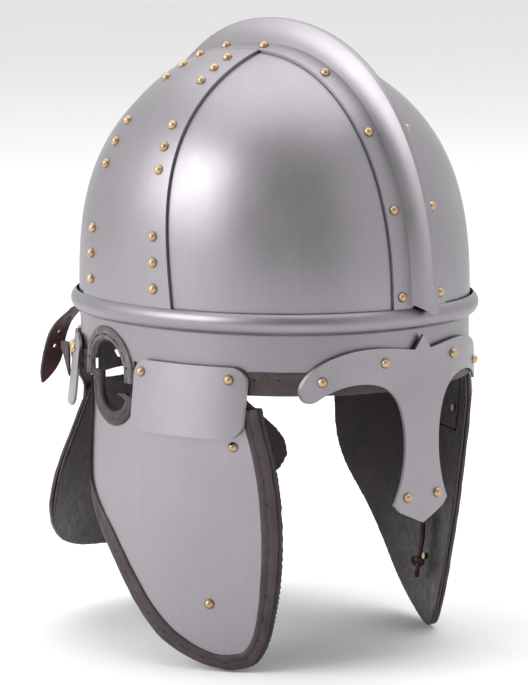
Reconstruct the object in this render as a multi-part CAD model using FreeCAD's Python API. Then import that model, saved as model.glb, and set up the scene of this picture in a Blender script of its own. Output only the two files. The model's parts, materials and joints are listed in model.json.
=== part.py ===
import FreeCAD, Part
import math
import os

# Banded ridge helmet with a nasal, two hinged cheek guards and a hinged neck guard.
# Millimetres, +Z up, the wearer faces -Y, the wearer's right is -X.  The origin is the centre
# of the head oval, in the plane of the seam between the skull and the brow band.

os.makedirs("parts", exist_ok=True)
V = FreeCAD.Vector

# ---- driving dimensions -------------------------------------------------------------------

HALF_LENGTH = 110.0        # outside of the skull at the seam, front to back
HALF_WIDTH = 97.0          # outside of the skull at the seam, side to side
SKULL_HEIGHT = 131.5       # seam to the top of the bands
PLAN_POWER = 2.15          # the oval is a superellipse, a little fuller than an ellipse
SIDE_VIEW_POWER = 2.2      # profile seen from the side
FRONT_VIEW_POWERS = (3.2, 1.5)

SHEET = 1.5                # steel sheet
LEATHER = 1.8              # lining and strap leather
TRIM = 1.15                # thin edging leather
GAP = 0.05                 # between neighbouring layers of one body

RIDGE_STRIP = 2.1          # half width of the ridge's flat top
RIDGE_FOOT = 8.5           # half width of the ridge at its foot
FLANGE = 19.0              # half width of the ridge band
BEAD_RADIUS = 6.0
BAND_INSET = 2.0           # the brow band's face lies inside the skull's face
BAND_BOTTOM = -41.0
TRIM_TOP = -31.0
TRIM_BOTTOM = -43.0

SIDE_BAND_CENTRE = 16.0
SIDE_BAND_HALF = 39.5
SIDE_BAND_TAPER = 0.105    # lost from each side per millimetre of height

EAR_CENTRE = (30.5, -39.5) # along Y, height
EAR_RADIUS = 17.0          # inside the binding
EAR_TRIM = 7.5             # width of the binding

COVER_FRONT = -66.0        # cheek hinge cover, along Y
COVER_REAR = 1.0
COVER_TOP = -28.5
COVER_BOTTOM = -65.0
COVER_CORNER = 8.0

GUARD_TOP = -49.0          # cheek guard's upper edge at the hinge
GUARD_HORN_TOP = -38.5     # its rear horn, behind the ear
GUARD_GROW = 0.8           # its face stands this far outside the skull oval at the top
GUARD_NOTCH = (20.0, -47.0)
GUARD_NOTCH_RADIUS = 11.5

NECK_TOP = -57.0
NECK_RADIUS = 105.0        # plan curve of the neck guard
NECK_OUT_TOP = 106.0       # its middle, along Y, at the top and at the bottom
NECK_OUT_BOTTOM = 130.0

RIVET_RADIUS = 2.6
RIVET_HEIGHT = 2.4
SHANK_RADIUS = 1.2
HOLE_RADIUS = 1.28
RIBBON_STEP = 1.7          # length of one step of a strap's bends


# ---- the head oval and the skull ----------------------------------------------------------

def oval_point(angle, grow, height, long_scale=1.0, wide_scale=1.0):
    c = math.cos(angle)
    s = math.sin(angle)
    x = math.copysign(abs(c) ** (2.0 / PLAN_POWER), c) * (HALF_WIDTH + grow) * wide_scale
    y = math.copysign(abs(s) ** (2.0 / PLAN_POWER), s) * (HALF_LENGTH + grow) * long_scale
    return V(x, y, height)


def oval_curve(grow, height, long_scale=1.0, wide_scale=1.0, count=40):
    points = []
    for step in range(count):
        angle = math.pi / 2 + 2 * math.pi * step / count
        points.append(oval_point(angle, grow, height, long_scale, wide_scale))
    even = [step / count for step in range(count + 1)]
    curve = Part.BSplineCurve()
    curve.interpolate(Points=points, PeriodicFlag=True, Parameters=even)
    return Part.Wire([curve.toShape()])


def oval_x(y, grow):
    """Half width of the oval at a place along its length."""
    left = max(0.0, 1 - (abs(y) / (HALF_LENGTH + grow)) ** PLAN_POWER)
    return (HALF_WIDTH + grow) * left ** (1 / PLAN_POWER)


def oval_y(x, grow):
    left = max(0.0, 1 - (abs(x) / (HALF_WIDTH + grow)) ** PLAN_POWER)
    return (HALF_LENGTH + grow) * left ** (1 / PLAN_POWER)


def oval_prism(grow, low, high):
    face = Part.Face(oval_curve(grow, low))
    return face.extrude(V(0, 0, high - low))


def oval_wall(outer, inner, low, high):
    return oval_prism(outer, low, high).cut(oval_prism(inner, low - 1, high + 1))


def long_scale(level):
    return max(0.0, 1 - level ** SIDE_VIEW_POWER) ** (1 / SIDE_VIEW_POWER)


def wide_scale(level):
    height_power, width_power = FRONT_VIEW_POWERS
    return max(0.0, 1 - level ** height_power) ** (1 / width_power)


def skull_solid(grow, bottom, height=SKULL_HEIGHT, levels=20):
    top = height + grow
    sections = [oval_curve(grow, bottom)]
    if bottom < -1:
        sections.append(oval_curve(grow, bottom / 2))
    for step in range(levels):
        level = math.sin(math.radians(86.0 * step / (levels - 1)))
        sections.append(oval_curve(grow, top * level, long_scale(level), wide_scale(level)))
    return Part.makeLoft(sections, True, False)


def skull_value(p, grow=0.0):
    level = min(0.99999, max(0.0, p.z / (SKULL_HEIGHT + grow)))
    wide = (HALF_WIDTH + grow) * wide_scale(level)
    long = (HALF_LENGTH + grow) * long_scale(level)
    return (abs(p.x) / wide) ** PLAN_POWER + (abs(p.y) / long) ** PLAN_POWER - 1


def skull_normal(p):
    step = 0.05
    slopes = []
    for axis in (V(1, 0, 0), V(0, 1, 0), V(0, 0, 1)):
        slopes.append(skull_value(p + axis * step) - skull_value(p - axis * step))
    return V(*slopes).normalize()


def profile_point(turn, grow=0.0):
    """Point of the middle profile; turn is -90 at the front seam, 0 at the top."""
    s = math.sin(math.radians(turn))
    c = math.cos(math.radians(turn))
    y = math.copysign(abs(s) ** (2 / SIDE_VIEW_POWER), s) * (HALF_LENGTH + grow)
    return V(0, y, c ** (2 / SIDE_VIEW_POWER) * (SKULL_HEIGHT + grow))


def profile_normal(turn):
    p = profile_point(turn)
    y = math.copysign((abs(p.y) / HALF_LENGTH) ** (SIDE_VIEW_POWER - 1), p.y) / HALF_LENGTH
    z = (p.z / SKULL_HEIGHT) ** (SIDE_VIEW_POWER - 1) / SKULL_HEIGHT
    return V(0, y, z).normalize()


def drop_to_skull(start, direction):
    """Walk inward from a point outside until the skull's face is met."""
    near = 0.0
    far = 60.0
    for _ in range(40):
        middle = (near + far) / 2
        if skull_value(start - direction * middle) > 0:
            near = middle
        else:
            far = middle
    return start - direction * near


# ---- small helpers ------------------------------------------------------------------------

def box(x0, x1, y0, y1, z0, z1):
    return Part.makeBox(x1 - x0, y1 - y0, z1 - z0, V(x0, y0, z0))


def mirrored(shape):
    return shape.mirror(V(0, 0, 0), V(1, 0, 0))


def solid_of(shape):
    """The pieces of a result that are more than a crumb."""
    solids = [s for s in shape.Solids if s.Volume > 2.0]
    if len(solids) == 1:
        return solids[0]
    return Part.makeCompound(solids)


def save(name, shape):
    shape = solid_of(shape) if shape.Solids else shape
    good = all(s.isValid() and s.isClosed() for s in shape.Solids)
    print(f"{name:28s} solids {len(shape.Solids):3d} volume {shape.Volume:10.1f} ok {good}")
    shape.exportStep(f"parts/{name}.step")


def save_pair(name, right):
    save(name + "_right", right)
    save(name + "_left", mirrored(right))


def stud(direction, radius, start, length):
    return Part.makeCylinder(radius, length, start, direction)


def rivet(place, direction, grip):
    """Domed head outside, shank through the layers, flat tail inside."""
    rise = RIVET_HEIGHT
    ball = (RIVET_RADIUS ** 2 + rise ** 2) / (2 * rise)
    half_turn = math.asin(RIVET_RADIUS / ball) / 2
    shoulder = V(ball * math.sin(half_turn), 0, GAP + rise - ball * (1 - math.cos(half_turn)))
    head = Part.Arc(V(RIVET_RADIUS, 0, GAP), shoulder, V(0, 0, GAP + rise)).toShape()
    tail = -grip - GAP
    corners = [V(0, 0, GAP + rise), V(0, 0, tail - 0.7), V(1.9, 0, tail - 0.7),
               V(1.9, 0, tail), V(SHANK_RADIUS, 0, tail), V(SHANK_RADIUS, 0, GAP),
               V(RIVET_RADIUS, 0, GAP)]
    edges = [Part.makeLine(a, b) for a, b in zip(corners, corners[1:])]
    face = Part.Face(Part.Wire(Part.__sortEdges__(edges + [head])))
    body = face.revolve(V(0, 0, 0), V(0, 0, 1), 360)
    turn = FreeCAD.Rotation(V(0, 0, 1), direction)
    return body.transformed(FreeCAD.Placement(place, turn).toMatrix())


def rivet_hole(place, direction):
    return stud(direction, HOLE_RADIUS, place - direction * 14, 24)


def drilled(shape, places):
    holes = [rivet_hole(place, direction) for place, direction in places]
    return shape.cut(Part.makeCompound(holes)) if holes else shape


def rivets(places, grip):
    return Part.makeCompound([rivet(place, direction, grip) for place, direction in places])


# ---- curved panels: a face "out" of a flat frame of (across, height) -----------------------

def side_place(across, out, height):
    return V(-out, across, height)


def rear_place(across, out, height):
    return V(across, out, height)


def panel_normal(surface, across, height):
    step = 0.2
    da = (surface(across + step, height) - surface(across - step, height)) / (2 * step)
    dz = (surface(across, height + step) - surface(across, height - step)) / (2 * step)
    size = math.sqrt(1 + da * da + dz * dz)
    return -da / size, 1 / size, -dz / size


def panel_point(surface, place, across, height, lift=0.0):
    na, no, nz = panel_normal(surface, across, height)
    out = surface(across, height) + lift * no
    return place(across + lift * na, out, height + lift * nz)


def panel_direction(surface, place, across, height):
    return place(*panel_normal(surface, across, height)).normalize()


def panel_block(surface, place, across_span, height_span, lift, reach, steps=(15, 15)):
    grid = []
    for i in range(steps[0]):
        across = across_span[0] + (across_span[1] - across_span[0]) * i / (steps[0] - 1)
        row = []
        for j in range(steps[1]):
            height = height_span[0] + (height_span[1] - height_span[0]) * j / (steps[1] - 1)
            row.append(panel_point(surface, place, across, height, lift))
        grid.append(row)
    face = Part.BSplineSurface()
    face.interpolate(grid)
    return face.toShape().extrude(place(0, -reach, 0))


def panel(surface, place, region, spans, outer, inner):
    """Sheet between two lifts of a surface, inside a prism."""
    across, height = spans
    block = panel_block(surface, place, across, height, outer, 60)
    wider = (across[0] - 3, across[1] + 3)
    taller = (height[0] - 3, height[1] + 3)
    return region.common(block).cut(panel_block(surface, place, wider, taller, inner, 80))


def smooth_outline(place, points):
    curve = Part.BSplineCurve()
    curve.interpolate(Points=[place(a, 20, z) for a, z in points], PeriodicFlag=True)
    return Part.Wire([curve.toShape()])


def straight_outline(place, points):
    corners = [place(a, 20, z) for a, z in points]
    return Part.makePolygon(corners + [corners[0]])


def prism(place, outline, depth=160):
    return Part.Face(outline).extrude(place(0, depth, 0))


def rounded_plate(place, a0, a1, z0, z1, radius):
    body = prism(place, straight_outline(place, [(a0, z0), (a1, z0), (a1, z1), (a0, z1)]))
    along = place(0, 1, 0)
    edges = [e for e in body.Edges if abs(abs(e.tangentAt(0.0).dot(along)) - 1) < 1e-6]
    return body.makeFillet(radius, edges)


def cylinder_prism(place, across, height, radius, depth=160):
    return Part.makeCylinder(radius, depth, place(across, 20, height), place(0, 1, 0))


def inset_points(points, width):
    """Move each point of a closed anticlockwise outline inward."""
    moved = []
    count = len(points)
    for i, (a, z) in enumerate(points):
        a0, z0 = points[i - 1]
        a1, z1 = points[(i + 1) % count]
        length = math.hypot(a1 - a0, z1 - z0)
        moved.append((a - width * (z1 - z0) / length, z + width * (a1 - a0) / length))
    return moved


def ribbon(stations, thickness):
    """Strap through stations of (centre, width direction, face direction, width)."""
    sections = []
    for centre, side, face, width in stations:
        side = V(side).normalize() * (width / 2)
        face = V(face).normalize() * (thickness / 2)
        sections.append([centre - side - face, centre + side - face,
                         centre + side + face, centre - side + face])
    run = [0.0]
    for (before, _, _, _), (after, _, _, _) in zip(stations, stations[1:]):
        run.append(run[-1] + (after - before).Length)
    rails = []
    for corner in range(4):
        curve = Part.BSplineCurve()
        curve.interpolate(Points=[section[corner] for section in sections], Parameters=run)
        rails.append(curve)
    count = max(8, round(run[-1] / RIBBON_STEP))
    rings = []
    for step in range(count + 1):
        corners = [rail.value(run[-1] * step / count) for rail in rails]
        rings.append(Part.makePolygon(corners + [corners[0]]))
    strip = Part.makeLoft(rings, True, True)
    return strip.reversed() if strip.Volume < 0 else strip


# ---- skull: ridge band, side bands, quarter plates ----------------------------------------

print("skull")
outer_skull = skull_solid(0.0, -5.0)
band_back = skull_solid(-SHEET, -6.0)
plate_face = skull_solid(-SHEET - GAP, -9.0)
plate_back = skull_solid(-2 * SHEET - GAP, -10.0)


def ridge_height(turn):
    """How far the ridge stands out from the bands; it sinks behind the crown."""
    if turn < -60:
        return 10.4 + (turn + 60) * 0.008
    if turn < 0:
        return 12.0 - 1.6 * (turn / 60) ** 2
    return 12.0 - 5.6 * min(1.0, turn / 32.0) ** 1.5


def ridge_section(turn, below, shrink):
    centre = profile_point(turn)
    out = profile_normal(turn)
    if below > 0:
        centre = centre - V(0, 0, below)
    high = ridge_height(turn) - (2.4 if shrink else 0.0)
    foot = RIDGE_FOOT - (2.0 if shrink else 0.0)
    strip = 0.8 if shrink else RIDGE_STRIP
    middle = RIDGE_FOOT * 0.56 - (1.6 if shrink else 0.0)
    low = -6.0 if shrink else -4.0

    def at(x, up):
        return centre + V(x, 0, 0) + out * up

    edges = [Part.makeLine(at(-foot, low), at(-foot, -1.2)),
             Part.Arc(at(-foot, -1.2), at(-middle, high * 0.32), at(-strip, high - 0.4)).toShape(),
             Part.Arc(at(-strip, high - 0.4), at(0, high), at(strip, high - 0.4)).toShape(),
             Part.Arc(at(strip, high - 0.4), at(middle, high * 0.32), at(foot, -1.2)).toShape(),
             Part.makeLine(at(foot, -1.2), at(foot, low)),
             Part.makeLine(at(foot, low), at(-foot, low))]
    return Part.Wire(edges)


def ridge_solid(shrink):
    stations = [(-90.0, 9.0), (-90.0, 4.0)]
    stations += [(-90 + 180 * step / 20, 0.0) for step in range(21)]
    stations += [(90.0, 4.0), (90.0, 9.0)]
    sections = [ridge_section(turn, below, shrink) for turn, below in stations]
    return Part.makeLoft(sections, True, False)


def ridge_end_cut(sign):
    """Clears the ridge's end just above the bead, sloping down towards its lip."""
    points = [V(-12, 100, 1.4), V(-12, 111, 0.4), V(-12, 126, -6.4), V(-12, 126, -20),
              V(-12, 100, -20)]
    wedge = Part.Face(Part.makePolygon(points + [points[0]])).extrude(V(24, 0, 0))
    return wedge if sign > 0 else wedge.mirror(V(0, 0, 0), V(0, 1, 0))


ridge_outer = ridge_solid(False).cut(ridge_end_cut(1)).cut(ridge_end_cut(-1))
ridge_inner = ridge_solid(True)
strip_box = box(-FLANGE, FLANGE, -130, 130, -10, 140)
comb = outer_skull.common(strip_box).cut(box(-RIDGE_FOOT + 2, RIDGE_FOOT - 2, -130, 130, -10, 1.4))
comb = comb.fuse(ridge_outer).cut(band_back).cut(ridge_inner)

COMB_TURNS = (-88.3, -70.0, -49.6, -27.5, -3.4, 9.3, 30.0, 50.0, 70.0, 88.3)
comb_places = []
for turn in COMB_TURNS:
    for side in (-1, 1):
        start = profile_point(turn) + profile_normal(turn) * 12 + V(13.7 * side, 0, 0)
        spot = drop_to_skull(start, profile_normal(turn))
        comb_places.append((spot, skull_normal(spot)))


def side_band_spot(along, height):
    """Point of the skull's right face at a height."""
    level = height / SKULL_HEIGHT
    long = HALF_LENGTH * long_scale(level)
    wide = HALF_WIDTH * wide_scale(level)
    x = -wide * (1 - (abs(along) / long) ** PLAN_POWER) ** (1 / PLAN_POWER)
    spot = V(x, along, height)
    return spot, skull_normal(spot)


side_places = []
for height in (8.6, 22.2, 35.5, 69.0, 80.4, 91.0, 112.5, 118.5, 123.4):
    spread = 28.0 - 13.5 * (height / 126.0) ** 2
    for sign in (-1, 1):
        side_places.append(side_band_spot(SIDE_BAND_CENTRE + sign * spread, height))

low_half = SIDE_BAND_HALF + SIDE_BAND_TAPER * 10
high_half = SIDE_BAND_HALF - SIDE_BAND_TAPER * 135
side_corners = [(SIDE_BAND_CENTRE - low_half, -10), (SIDE_BAND_CENTRE + low_half, -10),
                (SIDE_BAND_CENTRE + high_half, 135), (SIDE_BAND_CENTRE - high_half, 135)]
side_strip = Part.Face(straight_outline(side_place, side_corners)).extrude(V(-100, 0, 0))
side_strip = side_strip.translated(V(20 - FLANGE - 0.3, 0, 0))
side_band = outer_skull.common(side_strip).cut(band_back)
side_band = drilled(side_band, side_places)

plate_shell = plate_face.cut(plate_back)
UNDER_RIDGE = 9.5
front_quarter = plate_shell.common(box(-120, -UNDER_RIDGE, -130, SIDE_BAND_CENTRE - 1, -20, 140))
rear_quarter = plate_shell.common(box(-120, -UNDER_RIDGE, SIDE_BAND_CENTRE + 1, 130, -20, 140))
right_comb = [spot for spot in comb_places if spot[0].x < 0]
front_quarter = drilled(front_quarter, side_places + right_comb)
rear_quarter = drilled(rear_quarter, side_places + right_comb)

SKULL_GRIP = 2 * SHEET + GAP + 0.4
save("comb_band", drilled(comb, comb_places))
save_pair("side_band", side_band)
save_pair("skull_plate_front", front_quarter)
save_pair("skull_plate_rear", rear_quarter)
save("comb_rivets", rivets(comb_places, SKULL_GRIP))
save_pair("side_band_rivets", rivets(side_places, SKULL_GRIP))

# ---- brow band with its bead and ear arches -----------------------------------------------

print("brow")
bead_centre = V(0, HALF_LENGTH - 3, -BEAD_RADIUS)
lip = 0.1


def ring_point(grow, height):
    return V(0, HALF_LENGTH + grow, height)


def bead_arc(radius, start, end):
    middle = bead_centre + V(0, radius, 0)
    return Part.Arc(start, middle, end).toShape()


thin = BEAD_RADIUS - SHEET
outer_lip = ring_point(lip, -BEAD_RADIUS + math.sqrt(BEAD_RADIUS ** 2 - (3 + lip) ** 2))
outer_low = ring_point(-BAND_INSET, -BEAD_RADIUS - math.sqrt(BEAD_RADIUS ** 2 - 1))
inner_lip = ring_point(lip, -BEAD_RADIUS + math.sqrt(thin ** 2 - (3 + lip) ** 2))
back = -BAND_INSET - SHEET
inner_low = ring_point(back, -BEAD_RADIUS - math.sqrt(thin ** 2 - (3 + back) ** 2))
profile = Part.Wire([bead_arc(BEAD_RADIUS, outer_lip, outer_low),
                     Part.makeLine(outer_low, ring_point(-BAND_INSET, BAND_BOTTOM)),
                     Part.makeLine(ring_point(-BAND_INSET, BAND_BOTTOM),
                                   ring_point(back, BAND_BOTTOM)),
                     Part.makeLine(ring_point(back, BAND_BOTTOM), inner_low),
                     bead_arc(thin, inner_low, inner_lip),
                     Part.makeLine(inner_lip, outer_lip)])
brow_band = oval_curve(0.0, 0.0).makePipeShell([profile], True, False)


def ear_arch(radius, sides):
    """Prism of the ear arch, open downwards, on both sides."""
    y, z = EAR_CENTRE
    arch = Part.makeCylinder(radius, 260, V(-130, y, z), V(1, 0, 0))
    if sides:
        arch = arch.fuse(box(-130, 130, y - radius, y + radius, z - 30, z))
    return arch


steel_arch = ear_arch(EAR_RADIUS + 2, True)
brow_band = brow_band.cut(steel_arch)


def cover_surface(across, height):
    """Outer face of the hinge covers: flat against the band above, standing off below."""
    lean = (COVER_TOP - height) / (COVER_TOP - COVER_BOTTOM)
    return oval_x(across, 1.1 + 4.4 * lean)


COVER_SPANS = ((-84, 20), (-80, -20))
cover_region = rounded_plate(side_place, COVER_FRONT, COVER_REAR, COVER_BOTTOM, COVER_TOP,
                             COVER_CORNER)
cover_plate = panel(cover_surface, side_place, cover_region, COVER_SPANS, 0.0, -SHEET)
cover_places = []
for across in (-57.6, -4.3):
    spot = panel_point(cover_surface, side_place, across, -34.7)
    cover_places.append((spot, panel_direction(cover_surface, side_place, across, -34.7)))
cover_plate = drilled(cover_plate, cover_places)

REAR_COVER = (60.0, 91.0)   # along Y
REAR_COVER_TOP = -24.4
rear_region = rounded_plate(side_place, REAR_COVER[0], REAR_COVER[1], -62.0, REAR_COVER_TOP, 7.0)


def rear_cover_surface(across, height):
    lean = (REAR_COVER_TOP - height) / 40.0
    return oval_x(across, 0.9 + 5.0 * lean)


rear_cover = panel(rear_cover_surface, side_place, rear_region, ((50, 97), (-72, -12)),
                   0.0, -SHEET)
rear_places = []
for across in (72.0, 84.0):
    spot = panel_point(rear_cover_surface, side_place, across, -32.3)
    rear_places.append((spot, panel_direction(rear_cover_surface, side_place, across, -32.3)))
rear_cover = drilled(rear_cover, rear_places)

# ---- nasal: brow arcs and nose bar in one plate --------------------------------------------

NASAL_GROW = 0.9
half = [(0.0, -15.0), (5.7, -22.3), (18.0, -20.6), (34.0, -19.8), (46.0, -21.7), (56.8, -27.0),
        (62.7, -34.0), (64.5, -40.6), (62.7, -45.7), (57.0, -44.3), (46.0, -38.6),
        (34.0, -37.8), (24.0, -41.0), (17.0, -48.5), (13.4, -59.0), (12.2, -72.0),
        (14.2, -88.0), (19.6, -102.0), (16.0, -105.8), (0.0, -113.0)]


def nasal_edge(indices, sign, smooth):
    points = [V(sign * half[i][0], -60, half[i][1]) for i in indices]
    if not smooth:
        return [Part.makeLine(a, b) for a, b in zip(points, points[1:])]
    curve = Part.BSplineCurve()
    curve.interpolate(points)
    return [curve.toShape()]


nasal_edges = []
for sign in (-1, 1):
    nasal_edges += nasal_edge((0, 1, 2), sign, False)
    nasal_edges += nasal_edge(range(2, 10), sign, True)
    nasal_edges += nasal_edge(range(9, 18), sign, True)
    nasal_edges += nasal_edge((17, 18, 19), sign, False)
nasal_face = Part.Face(Part.Wire(Part.__sortEdges__(nasal_edges)))
nasal = oval_wall(NASAL_GROW, NASAL_GROW - SHEET, -120, -5)
nasal = nasal.common(nasal_face.extrude(V(0, -80, 0)))

nasal_places = []
for across, height in ((25.0, -27.5), (56.0, -35.5), (10.9, -98.6)):
    for sign in (-1, 1):
        spot = V(sign * across, -oval_y(across, NASAL_GROW), height)
        slope = (oval_y(across + 0.1, NASAL_GROW) - oval_y(across - 0.1, NASAL_GROW)) / 0.2
        nasal_places.append((spot, V(-sign * slope, -1, 0).normalize()))
nasal = drilled(nasal, nasal_places)
held_places = nasal_places[:4]

mirrored_covers = [(V(-p.x, p.y, p.z), V(-d.x, d.y, d.z)) for p, d in cover_places + rear_places]
band_places = held_places + cover_places + rear_places + mirrored_covers
save("brow_band", drilled(brow_band, band_places))
save("nasal_plate", nasal)
save("nasal_rivets", Part.makeCompound([rivets(nasal_places[:2], 4.6), rivets(nasal_places[2:4], 6.0),
                                        rivets(nasal_places[4:], SHEET + 0.1)]))
save_pair("hinge_cover_plate", cover_plate)
save_pair("rear_cover_plate", rear_cover)
save_pair("hinge_cover_rivets", rivets(cover_places, 7.0))
save_pair("rear_cover_rivets", rivets(rear_places, 7.2))

# ---- leather of the brow: edging, ear bindings, head band, crown lining --------------------

print("leather")
outside = -BAND_INSET + GAP + TRIM
inside = -BAND_INSET - SHEET - GAP - TRIM
steel_room = oval_wall(-BAND_INSET + GAP, -BAND_INSET - SHEET - GAP, BAND_BOTTOM - GAP, -5)
edging = oval_wall(outside, inside, TRIM_BOTTOM, TRIM_TOP).cut(steel_room)
ears_out = ear_arch(EAR_RADIUS + EAR_TRIM + 0.3, True)
edging = edging.cut(ears_out)
for sign in (-1, 1):
    hidden = box(0, 130, COVER_FRONT + 2, COVER_REAR + 1.5, TRIM_BOTTOM - 1, TRIM_TOP + 1)
    hidden = hidden.cut(oval_prism(-BAND_INSET, -60, -20))
    rear_hidden = box(0, 130, REAR_COVER[0] - 1, REAR_COVER[1] + 3, TRIM_BOTTOM - 1, TRIM_TOP + 1)
    rear_hidden = rear_hidden.cut(oval_prism(-BAND_INSET, -60, -20))
    edging = edging.cut(hidden if sign > 0 else mirrored(hidden))
    edging = edging.cut(rear_hidden if sign > 0 else mirrored(rear_hidden))
save("brow_edging", drilled(edging, band_places))

binding = oval_wall(outside, inside, TRIM_BOTTOM, -8)
binding = binding.common(ear_arch(EAR_RADIUS + EAR_TRIM, True)).cut(ear_arch(EAR_RADIUS, True))
arch_room = steel_room.cut(ear_arch(EAR_RADIUS + 2 - GAP, True))
binding = binding.cut(arch_room).common(box(-130, 0, -130, 130, -80, 0))
binding = binding.cut(box(-130, 0, -40, COVER_REAR + 3.6, TRIM_BOTTOM - 1, -8))
save_pair("ear_binding", binding)

HEAD_BAND = (-6.4, -8.2)
head_band = oval_wall(HEAD_BAND[0], HEAD_BAND[1], -36.0, 6.0)
head_band = head_band.cut(ear_arch(EAR_RADIUS + EAR_TRIM - 1, True))
save("head_band", head_band)

LINER_TOP = 108.0
liner_out = skull_solid(-6.4, -2.0, LINER_TOP + 6.4)
liner_in = skull_solid(-7.9, -3.0, LINER_TOP + 6.4)
liner = liner_out.cut(liner_in).common(box(-120, 120, -120, 120, 6.5, 101))
tongues = []
for step in range(8):
    middle = 2 * math.pi * (step + 0.5) / 8
    spread = math.radians(19.5)
    corners = [V(0, 0, 0)]
    for angle in (middle - spread, middle, middle + spread):
        corners.append(V(170 * math.cos(angle), 170 * math.sin(angle), 0))
    wedge = Part.Face(Part.makePolygon(corners + [corners[0]])).extrude(V(0, 0, 140))
    tongues.append(liner.common(wedge))
save("liner_tongues", Part.makeCompound([solid_of(t) for t in tongues]))

LACE_HEIGHT = 95.0
LACE_LEVEL = 0.905           # how far up the crown its oval is taken from
lace_path = oval_curve(-11.0, LACE_HEIGHT, long_scale(LACE_LEVEL), wide_scale(LACE_LEVEL))
lace_start = lace_path.Vertexes[0].Point
lace_ring = Part.Wire([Part.makeCircle(1.3, lace_start, V(1, 0, 0))])
save("liner_lace", lace_path.makePipeShell([lace_ring], True, False))

# ---- cheek guards -------------------------------------------------------------------------

print("cheeks")


def guard_surface(across, height):
    """Follows the head oval at the hinge and turns into a forward-closing bow at the chin."""
    blend = min(1.15, max(0.0, (-62 - height) / 120))
    bow = 98.0 - 0.0039 * (30 - across) ** 2
    return (1 - blend) * oval_x(across, GUARD_GROW) + blend * bow


GUARD_SPANS = ((-86, 62), (-200, -28))
LEATHER_OUTLINE = [(-66.0, -34.0), (-70.5, -52.0), (-73.0, -70.0), (-74.0, -94.0),
                   (-72.8, -118.0), (-70.0, -139.0), (-65.5, -161.0), (-60.0, -178.0),
                   (-53.0, -187.6), (-41.0, -189.4), (-25.0, -184.4), (-11.5, -176.5),
                   (2.5, -162.0), (13.4, -147.0), (23.0, -133.5), (33.8, -119.0),
                   (41.5, -103.0), (43.5, -86.0), (43.0, -66.0), (41.5, -46.0),
                   (38.0, -28.0), (8.0, -20.0), (-30.0, -20.0), (-56.0, -24.0)]
STEEL_OUTLINE = [(-60.0, -34.0), (-63.5, -52.0), (-66.0, -70.0), (-67.0, -94.0),
                 (-65.6, -120.0), (-62.4, -145.0), (-57.6, -168.0), (-51.5, -179.0),
                 (-41.0, -181.6), (-30.0, -178.0), (-18.0, -170.5), (-6.0, -158.0),
                 (4.0, -144.5), (13.8, -130.0), (27.0, -114.5), (39.5, -99.0),
                 (45.0, -84.0), (47.0, -60.0), (45.0, -30.0), (8.0, -14.0),
                 (-30.0, -14.0), (-52.0, -20.0)]


def guard_region(outline, inset, notch, top=0.0):
    """Prism of a cheek guard outline, less the space above the hinge and the ear notch."""
    region = prism(side_place, smooth_outline(side_place, inset_points(outline, inset)))
    y, z = GUARD_NOTCH
    region = region.cut(box(-200, 0, -120, y, GUARD_TOP - top, 40))
    region = region.cut(box(-200, 0, y, 120, GUARD_HORN_TOP - top, 40))
    region = region.cut(cylinder_prism(side_place, y, z, notch))
    return region.cut(box(-200, 0, y - notch, y + notch, z, 40))


def guard_spot(across, height):
    spot = panel_point(guard_surface, side_place, across, height)
    return spot, panel_direction(guard_surface, side_place, across, height)


STRAP_SPAN = (-62.0, -4.0)
STRAP_BOTTOM = -80.0
guard_places = [guard_spot(-58.0, -69.4), guard_spot(-37.8, -154.4)]
steel_region = guard_region(LEATHER_OUTLINE, 1.6, GUARD_NOTCH_RADIUS + 1.6, 1.6)
guard_steel = panel(guard_surface, side_place, steel_region, GUARD_SPANS, 0.0, -SHEET)
guard_steel = drilled(guard_steel, guard_places)
whole_region = guard_region(LEATHER_OUTLINE, 0.0, GUARD_NOTCH_RADIUS)
seen_region = guard_region(STEEL_OUTLINE, 0.0, GUARD_NOTCH_RADIUS + EAR_TRIM, 6.0)
steel_gap = guard_region(LEATHER_OUTLINE, 1.5, GUARD_NOTCH_RADIUS + 1.5, 1.5)
guard_edging = panel(guard_surface, side_place, whole_region.cut(seen_region), GUARD_SPANS,
                     GAP + TRIM, -SHEET - GAP)
guard_edging = guard_edging.cut(panel(guard_surface, side_place, steel_gap, GUARD_SPANS,
                                      GAP, -SHEET - 3))
guard_edging = guard_edging.cut(box(-200, 0, COVER_FRONT - 3, COVER_REAR + 2, -66.0, 0)
                                .cut(panel_block(guard_surface, side_place, (-89, 65),
                                                 (-203, -25), 0.0, 80)))
guard_lining = panel(guard_surface, side_place, whole_region, GUARD_SPANS,
                     -SHEET - 2 * GAP, -SHEET - 2 * GAP - LEATHER)
strap_room = box(-200, 0, STRAP_SPAN[0] - 0.4, STRAP_SPAN[1] + 0.4, STRAP_BOTTOM - 0.4, 0)
guard_lining = drilled(guard_lining.cut(strap_room), guard_places)
save_pair("cheek_plate", guard_steel)
save_pair("cheek_edging", guard_edging)
save_pair("cheek_lining", guard_lining)
raised = [(place + out * 0.15, out) for place, out in guard_places]
save_pair("cheek_rivets", rivets(raised, SHEET + LEATHER + 0.65))


def strap_surface(across, height):
    """Outer face of the leather hinge: on the brow band above, behind the guard below."""
    blend = min(1.0, max(0.0, (-43.4 - height) / 5.6))
    upper = oval_x(across, -BAND_INSET + 2 * GAP + LEATHER)
    lower = guard_surface(across, height)
    lower -= (SHEET + 6 * GAP) / panel_normal(guard_surface, across, height)[1]
    return (1 - blend) * upper + blend * lower


strap_region = rounded_plate(side_place, STRAP_SPAN[0], STRAP_SPAN[1], STRAP_BOTTOM, -32.6, 3.0)
hinge_strap = panel(strap_surface, side_place, strap_region, ((-80, 14), (-90, -20)),
                    0.0, -LEATHER)
hinge_strap = drilled(hinge_strap, cover_places + guard_places)
save_pair("cheek_hinge_strap", hinge_strap)

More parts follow.
